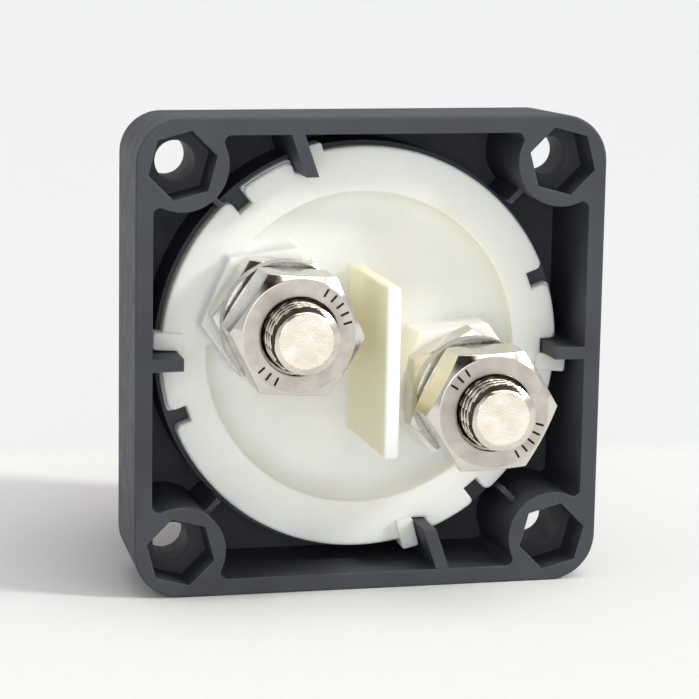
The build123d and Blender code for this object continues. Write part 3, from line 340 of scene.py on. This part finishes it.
NODE_MATERIALS = {
    "housing": HOUSING_PLASTIC,
    "contact_base": IVORY_NYLON,
    "base_seal": SEAL_RUBBER,
    "stud_seal_upper": SEAL_RUBBER,
    "stud_seal_lower": SEAL_RUBBER,
    "shaft_seal": SEAL_RUBBER,
    "contact_pad_upper": SILVER_ALLOY,
    "contact_pad_lower": SILVER_ALLOY,
    "bridge_tip_upper": SILVER_ALLOY,
    "bridge_tip_lower": SILVER_ALLOY,
    "spring_washer_upper": WASHER_STEEL,
    "spring_washer_lower": WASHER_STEEL,
    "thrust_washer": SLIP_PLASTIC,
    "dial_ring": DIAL_PLASTIC,
    "off_mark": OFF_PAINT,
    "on_mark": ON_PAINT,
    "rotor": ROTOR_PLASTIC,
    "drive_shaft": BRIGHT_STEEL,
    "shaft_clip": SPRING_STEEL,
    "detent_ball_upper": BRIGHT_STEEL,
    "detent_ball_lower": BRIGHT_STEEL,
    "detent_spring_upper": SPRING_STEEL,
    "detent_spring_lower": SPRING_STEEL,
    "spring_cup": BRIGHT_STEEL,
    "knob": KNOB_PLASTIC,
    "knob_screw": BRIGHT_STEEL,
    "knob_cap": KNOB_PLASTIC,
    "knob_pointer": POINTER_PLASTIC,
    "contact_bridge": COPPER,
}


# ---- Mesh helpers --------------------------------------------------------------------------------


def about_axis(centre, radius, angle, y):
    """Point round a terminal's axis. The angle is seen from behind, anticlockwise from -X, in radians."""
    return Vector((centre.x - radius * cos(angle), y, centre.z + radius * sin(angle)))


def finish_piece(name, shape, material, body, smooth_degrees=32):
    """Make a piece from a bmesh, shaded smooth up to this edge angle, riding on a body."""
    bmesh.ops.recalc_face_normals(shape, faces=shape.faces)
    mesh = bpy.data.meshes.new(name)
    shape.to_mesh(mesh)
    shape.free()
    piece = bpy.data.objects.new(name, mesh)
    bpy.context.scene.collection.objects.link(piece)
    mesh.shade_smooth()
    mesh.set_sharp_from_angle(angle=radians(smooth_degrees))
    for each in material if isinstance(material, list) else [material]:
        mesh.materials.append(each)
    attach(piece, body)
    return piece


def ring_grid(shape, rings, closed_start=False, closed_end=False):
    """Skin a list of equal rings of points, each closed round; the ends can be capped with a face."""
    made = [[shape.verts.new(point) for point in ring] for ring in rings]
    count = len(made[0])
    for low, high in zip(made, made[1:]):
        for i in range(count):
            j = (i + 1) % count
            shape.faces.new((low[i], low[j], high[j], high[i]))
    if closed_start:
        shape.faces.new(made[0])
    if closed_end:
        shape.faces.new(made[-1])
    return made


def loop_rings(shape, rings):
    """Skin rings that also join last to first, as a nut's section does."""
    made = ring_grid(shape, rings)
    count = len(made[0])
    for i in range(count):
        j = (i + 1) % count
        shape.faces.new((made[-1][i], made[-1][j], made[0][j], made[0][i]))


# ---- Terminals -----------------------------------------------------------------------------------

# Rings of the end face as shares of its radius, and its dents as (scale, depth)
END_FACE_RINGS = (0.93, 0.8, 0.65, 0.5, 0.35, 0.2)
END_FACE_DENTS = ((900.0, 0.09 * MM), (2600.0, 0.03 * MM))
END_FACE_SINK = 0.02 * MM
THREAD_SIDES = 96
THREAD_STEP = THREAD_PITCH / 16
ROOT_SHARE = 0.12
FLANK_SHARE = 0.56
FLANK_EASE = 0.35
ROOT_RADIUS = THREAD_MINOR + 0.8 * (THREAD_MAJOR - THREAD_MINOR)
ROOT_MARGIN = 0.05 * MM


def thread_radius(y, angle):
    """Radius of a right-hand rolled thread: flat crest, 60 degree flanks and a rounded root."""
    phase = (y / THREAD_PITCH + angle / (2 * pi)) % 1.0
    rise = abs(phase - 0.5) * 2
    share = min(1.0, max(0.0, (rise - ROOT_SHARE) / FLANK_SHARE))
    eased = share * share * (3 - 2 * share)
    share = eased * FLANK_EASE + share * (1 - FLANK_EASE)
    return THREAD_MINOR + (THREAD_MAJOR - THREAD_MINOR) * share


def make_stud(side):
    """Threaded stud with a square head, its free end chamfered and its end face sheared, a little rough."""
    centre = STUD_CENTRES[side]
    shape = bmesh.new()
    thread_start = BASE_NUT_BOXES[side][0].y
    rings = []
    steps = ceil((STUD_END_Y - thread_start) / THREAD_STEP)
    angles = [2 * pi * i / THREAD_SIDES for i in range(THREAD_SIDES)]
    shank_front = STUD_HEAD_FRONT_Y + STUD_HEAD_THICKNESS
    rings.append([about_axis(centre, THREAD_MAJOR, a, shank_front) for a in angles])
    for step in range(steps + 1):
        y = thread_start + (STUD_END_Y - thread_start) * step / steps
        limit = STUD_FACE_RADIUS + (STUD_END_Y - y) * STUD_CHAMFER_SLOPE
        rings.append([about_axis(centre, min(limit, thread_radius(y, a)), a, y) for a in angles])
    made = ring_grid(shape, rings)
    # Painted shade: faces in the thread roots get a dark colour for the shade in the grooves
    shape.faces.ensure_lookup_table()
    for face in shape.faces:
        middle = face.calc_center_median()
        depth = hypot(middle.x - centre.x, middle.z - centre.z)
        on_chamfer = depth > STUD_FACE_RADIUS + (STUD_END_Y - middle.y) * STUD_CHAMFER_SLOPE - ROOT_MARGIN
        if depth < ROOT_RADIUS and not on_chamfer:
            face.material_index = 2
    # End face, in rings that sink and swell by a few hundredths of a millimetre
    last = made[-1]
    face_first = len(shape.faces)
    for share in END_FACE_RINGS:
        ring = []
        for angle in angles:
            point = about_axis(centre, STUD_FACE_RADIUS * share, angle, STUD_END_Y)
            dent = sum(noise.noise(point * scale) * depth for scale, depth in END_FACE_DENTS)
            point.y += min(0.0, dent) - END_FACE_SINK
            ring.append(shape.verts.new(point))
        for i in range(THREAD_SIDES):
            j = (i + 1) % THREAD_SIDES
            shape.faces.new((last[i], last[j], ring[j], ring[i]))
        last = ring
    shape.faces.new(last)
    shape.faces.ensure_lookup_table()
    for face in shape.faces[face_first:]:
        face.material_index = 1
    # Square head, chamfered at its four corners
    half = STUD_HEAD_WIDTH / 2
    cut = half - STUD_HEAD_CHAMFER
    outline = []
    for sign in (1, -1):
        outline += [(sign * u, sign * v) for u, v in ((half, cut), (cut, half), (-cut, half), (-half, cut))]
    head = []
    for y in (STUD_HEAD_FRONT_Y, STUD_HEAD_FRONT_Y + STUD_HEAD_THICKNESS):
        head.append([
            about_axis(centre, hypot(u, v), atan2(v, u) + radians(STUD_TURN), y) for u, v in outline
        ])
    ring_grid(shape, head, closed_start=True, closed_end=True)
    metals = [STUD_STEEL[side], STUD_FACE_STEEL, THREAD_ROOT_PAINTED_SHADE]
    piece = finish_piece(f"threaded_stud_{side}", shape, metals, "housing_body", 40)
    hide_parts(f"terminal_stud_{side}")


NUT_STEPS = 16
FACE_RING_SHARE = 0.62
NUT_SHARP_DEGREES = 14


def hexagon_radius(angle, turn):
    """Distance from a nut's axis to its side, along this angle; turn is the angle of one corner."""
    from_flat = (angle - turn) % (pi / 3) - pi / 6
    return NUT_FLATS / 2 / cos(from_flat)


def make_nut(name, side, box, turn_degrees, node):
    """Hexagon nut: corners trimmed by a cone at both ends, and a chamfered bore."""
    centre = STUD_CENTRES[side]
    turn = radians(turn_degrees)
    low_y, high_y = box[0].y, box[1].y
    slope = tan(radians(NUT_CROWN_SLOPE))
    angles = [turn + pi / 3 * step / NUT_STEPS for step in range(6 * NUT_STEPS)]

    def ring(radius_of, y_of):
        return [about_axis(centre, radius_of(a), a, y_of(a)) for a in angles]

    def drop(angle):
        return max(0.0, hexagon_radius(angle, turn) - NUT_CROWN_RADIUS) * slope

    mouth = NUT_MOUTH_RADIUS - NUT_BORE_RADIUS
    face_ring_radius = NUT_MOUTH_RADIUS + (NUT_CROWN_RADIUS - NUT_MOUTH_RADIUS) * FACE_RING_SHARE
    rings = [
        ring(lambda a: NUT_MOUTH_RADIUS, lambda a: high_y),
        ring(lambda a: face_ring_radius, lambda a: high_y),
        ring(lambda a: min(NUT_CROWN_RADIUS, hexagon_radius(a, turn) - NUT_EDGE), lambda a: high_y),
        ring(lambda a: hexagon_radius(a, turn), lambda a: high_y - drop(a) - NUT_EDGE),
        ring(lambda a: hexagon_radius(a, turn), lambda a: (low_y + high_y) / 2),
        ring(lambda a: hexagon_radius(a, turn), lambda a: low_y + drop(a) + NUT_EDGE),
        ring(lambda a: min(NUT_CROWN_RADIUS, hexagon_radius(a, turn) - NUT_EDGE), lambda a: low_y),
        ring(lambda a: NUT_MOUTH_RADIUS, lambda a: low_y),
        ring(lambda a: NUT_BORE_RADIUS, lambda a: low_y + mouth),
        ring(lambda a: NUT_BORE_RADIUS, lambda a: high_y - mouth),
    ]
    shape = bmesh.new()
    loop_rings(shape, rings)
    for face in shape.faces:
        if face.calc_center_median().y > high_y - NUT_EDGE / 4:
            face.material_index = 1
    metals = [NUT_STEEL[side], NUT_FACE_STEEL]
    piece = finish_piece(name, shape, metals, "housing_body", NUT_SHARP_DEGREES)
    round_edges(piece, NUT_EDGE, NUT_SHARP_DEGREES)
    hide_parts(node)


def round_edges(piece, width, angle_degrees):
    """Bevel a piece's edges that are sharper than this angle."""
    modifier = piece.modifiers.new("edges", "BEVEL")
    modifier.width = width
    modifier.segments = 2
    modifier.limit_method = "ANGLE"
    modifier.angle_limit = radians(angle_degrees)
    modifier.harden_normals = True
    modifier.use_clamp_overlap = True


# Plain punched grade marks on each terminal nut: two groups of short bars, in place of a maker's lettering
MARK_GROUPS = {"upper": ((36, 5), (232, 3)), "lower": ((136, 3), (322, 5))}
MARK_STEP = 11.0
MARK_RADIUS = 7.0 * MM
MARK_LENGTH = 1.3 * MM
MARK_WIDTH = 0.34 * MM
MARK_DEPTH = 0.03 * MM
MARK_SIDES = 16
MARK_FILL = plain_metal(
    "punched_mark_shadow", "#2b2724", "#3a342f", 0.45, 0.6, size_mm=0.4, depth_mm=0.01, edge_mm=0.02,
)


def make_grade_marks(side, y):
    """Short filled bars on a nut's outer face, set like the spokes of a wheel."""
    centre = STUD_CENTRES[side]
    shape = bmesh.new()
    for middle, count in MARK_GROUPS[side]:
        for index in range(count):
            angle = radians(middle + (index - (count - 1) / 2) * MARK_STEP)
            rings = []
            for grow, rise in ((0.0, 0.0), (0.0, 0.6), (-0.06 * MM, 1.0)):
                ring = []
                for step in range(MARK_SIDES):
                    turn = 2 * pi * step / MARK_SIDES
                    along = (MARK_LENGTH / 2 - MARK_WIDTH / 2) * (1 if cos(turn) > 0 else -1)
                    along += (MARK_WIDTH / 2 + grow) * cos(turn)
                    across = (MARK_WIDTH / 2 + grow) * sin(turn)
                    point = about_axis(centre, MARK_RADIUS + along, angle, y + MARK_DEPTH * rise)
                    sideways = Vector((sin(angle), 0, cos(angle))) * across
                    ring.append(point + sideways)
                rings.append(ring)
            ring_grid(shape, rings, closed_start=True, closed_end=True)
    finish_piece(f"nut_grade_marks_{side}", shape, MARK_FILL, "housing_body")


NUT_SETS = (
    ("base", BASE_NUT_BOXES, BASE_NUT_TURNS),
    ("terminal", TERMINAL_NUT_BOXES, TERMINAL_NUT_TURNS),
)

for side in SIDES:
    make_stud(side)
    for end, boxes, turns in NUT_SETS:
        make_nut(f"{end}_hexagon_nut_{side}", side, boxes[side], turns[side], f"{end}_nut_{side}")
    make_grade_marks(side, TERMINAL_NUT_BOXES[side][1].y)

# ---- Contact spring ------------------------------------------------------------------------------


def make_contact_spring():
    """Coil under the bridge, copied from the model's spring and carried on the rotor's body."""
    coil = frame["nodes"]["contact_spring"]
    shape = bmesh.new()
    shape.from_mesh(coil.data)
    shape.transform(coil.matrix_world)
    piece = finish_piece("pressed_contact_spring", shape, SPRING_STEEL, "rotor_body", 40)
    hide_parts("contact_spring")
    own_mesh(piece)


make_contact_spring()

# ---- Carried-over nodes --------------------------------------------------------------------------

for node_name, material in NODE_MATERIALS.items():
    mesh = frame["nodes"][node_name].data
    mesh.materials.clear()
    mesh.materials.append(material)

# ---- Stage, lights and camera --------------------------------------------------------------------


def paper_floor():
    """Wide sheet of matt paper, with painted shade beginning behind the switch: a slightly greyer tone
    standing in for the darker backdrop wall.
    """
    mesh = bpy.data.meshes.new("floor")
    signs = ((-1, -1), (1, -1), (1, 1), (-1, 1))
    corners = [(x * REACH, y * REACH, FLOOR_Z) for x, y in signs]
    mesh.from_pydata(corners, [], [(0, 1, 2, 3)])
    sheet = bpy.data.objects.new("floor", mesh)
    bpy.context.scene.collection.objects.link(sheet)
    made, tree, shader, place = start_material("matt_paper_sheet", Roughness=0.85)
    # Paper tooth, 2 mm
    cloud = mottle(tree, place, 2.0, 0.0, 1.0, detail=4.0)
    near_tone = two_tone(tree, cloud, "#e4e4e3", "#e2e2e1")
    # Painted shade: beyond a line behind the switch the paper turns slightly greyer, for the darker
    # backdrop wall
    far_painted_shade = two_tone(tree, cloud, "#dedfe0", "#dcddde")
    across = add(tree, "ShaderNodeVectorMath", {0: place, 1: FAR_SHADE_NORMAL}, operation="DOT_PRODUCT")
    share = add(tree, "ShaderNodeMapRange", {
        "Value": (across, "Value"), "From Min": FAR_SHADE_START,
        "From Max": FAR_SHADE_START - FAR_SHADE_BLEND, "To Min": 0.0, "To Max": 1.0,
    })
    tone = add(tree, "ShaderNodeMix", {0: (share, "Result"), 6: near_tone, 7: far_painted_shade}, data_type="RGBA")
    tree.links.new(tone.outputs[2], shader.inputs["Base Color"])
    mesh.materials.append(made)


def sun_light(name, place, strength, spread_degrees, colour):
    """Distant light that shines from this direction towards the origin."""
    light = bpy.data.lights.new(name, "SUN")
    light.energy = strength
    light.angle = radians(spread_degrees)
    light.color = linear(colour)[:3]
    lamp = bpy.data.objects.new(name, light)
    bpy.context.scene.collection.objects.link(lamp)
    lamp.location = place
    lamp.rotation_euler = (-Vector(place)).to_track_quat("-Z", "Y").to_euler()


def area_light(name, place, target, power, width, height, colour):
    light = bpy.data.lights.new(name, "AREA")
    light.shape = "RECTANGLE"
    light.size = width
    light.size_y = height
    light.energy = power
    light.color = linear(colour)[:3]
    lamp = bpy.data.objects.new(name, light)
    bpy.context.scene.collection.objects.link(lamp)
    lamp.location = place
    lamp.rotation_euler = (Vector(target) - Vector(place)).to_track_quat("-Z", "Y").to_euler()


REACH = 6.0
# Line where the painted shade on the far paper begins, and the width of its blend
FAR_SHADE_TURN = radians(7.0)
FAR_SHADE_NORMAL = (sin(FAR_SHADE_TURN), cos(FAR_SHADE_TURN), 0.0)
FAR_SHADE_START = -88 * MM
FAR_SHADE_BLEND = 10 * MM
paper_floor()
sun_light("sun_above", (-0.2, 0.2, 0.8), 1.15, 50.0, "#fffdf8")
sun_light("sun_key", (-0.85, 0.42, 0.6), 1.9, 9.0, "#fffefb")
area_light("front_fill", (0.2, 0.9, 0.2), (0, 0, 0), 2.0, 0.6, 0.5, "#fbfcff")

# Dark brown screen high up behind the camera, which the polished corners of the nuts pick up
SCREEN_DIRECTION = (0.2, 0.6, 0.774)
SCREEN_INNER = 0.97
SCREEN_OUTER = 0.9
ROOM_STRENGTH = 0.73

world = bpy.data.worlds.new("soft_room")
bpy.context.scene.world = world
world.use_nodes = True
room = world.node_tree
direction = add(room, "ShaderNodeTexCoord")
facing = add(room, "ShaderNodeVectorMath", {
    0: (direction, "Generated"), 1: SCREEN_DIRECTION,
}, operation="DOT_PRODUCT")
screen = add(room, "ShaderNodeMapRange", {
    "Value": (facing, "Value"), "From Min": SCREEN_OUTER, "From Max": SCREEN_INNER,
    "To Min": 0.0, "To Max": 1.0,
})
tone = two_tone(room, (screen, "Result"), "#eceef0", "#35261c")
room.links.new(tone[0].outputs[tone[1]], room.nodes["Background"].inputs["Color"])
room.nodes["Background"].inputs["Strength"].default_value = ROOM_STRENGTH

CAMERA_PLACE = (0.100928, 0.389385, 0.075079)
CAMERA_DEGREES = (79.55289, -0.97059, 166.12304)
CAMERA_LENS_MM = 146.78
CAMERA_SENSOR_MM = 36.0

camera_data = bpy.data.cameras.new("camera")
camera_data.lens = CAMERA_LENS_MM
camera_data.sensor_width = CAMERA_SENSOR_MM
camera_data.clip_start = 0.01
camera = bpy.data.objects.new("camera", camera_data)
bpy.context.scene.collection.objects.link(camera)
camera.location = CAMERA_PLACE
camera.rotation_euler = [radians(angle) for angle in CAMERA_DEGREES]
bpy.context.scene.camera = camera
bpy.context.scene.view_settings.view_transform = "Standard"

bpy.context.view_layer.update()
